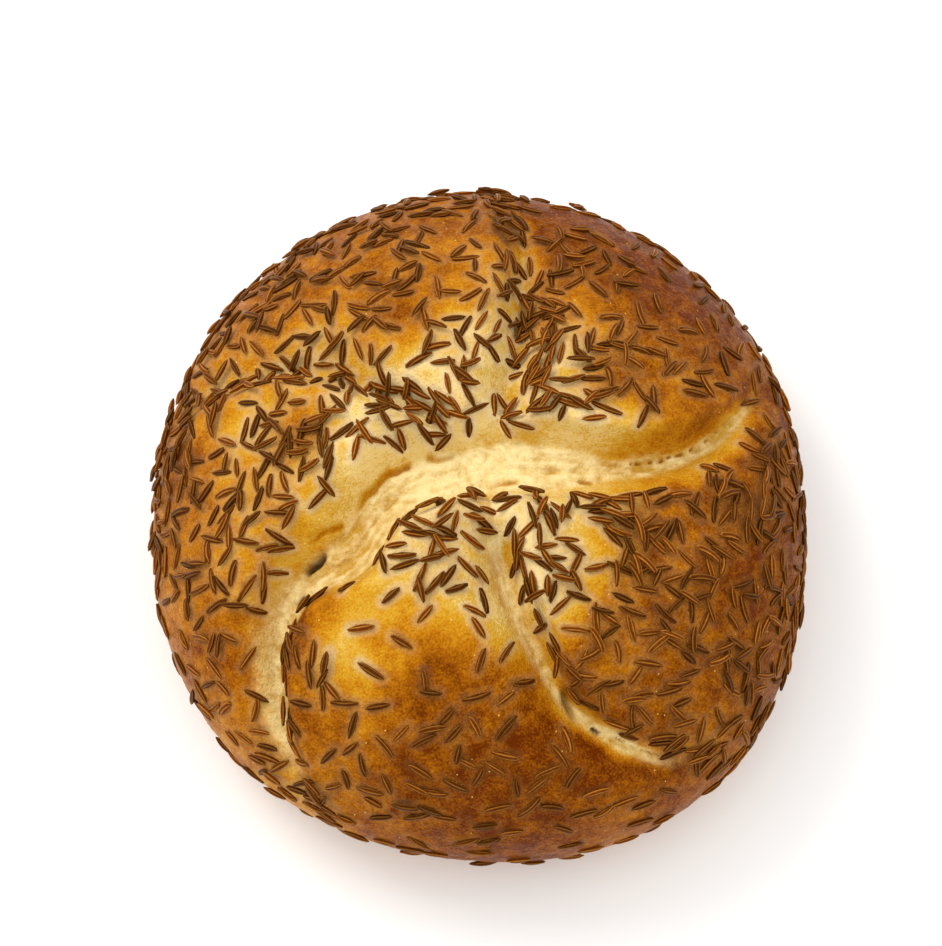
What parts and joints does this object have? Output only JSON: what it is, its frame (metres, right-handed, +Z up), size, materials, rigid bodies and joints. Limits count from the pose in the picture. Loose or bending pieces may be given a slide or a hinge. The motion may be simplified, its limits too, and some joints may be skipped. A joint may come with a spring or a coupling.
{
  "type": "bread roll",
  "caption": "Round, domed bread roll with a flat underside. Curved folds part its crown into puffed petals, which are strewn with caraway seeds.",
  "frame": {"origin": "on the underside, below the middle of the roll", "axes": "+Z up out of the crown, +X to the right and -Y towards the viewer"},
  "size_m": [0.1092, 0.1165, 0.047],
  "materials": {
    "crust": "satin baked crust, golden brown on the petals and pale in the folds",
    "caraway_seed": "matt dark brown seed with pale ribs"
  },
  "bodies": {
    "root": {"roll": "crust"}
  },
  "joints": []
}
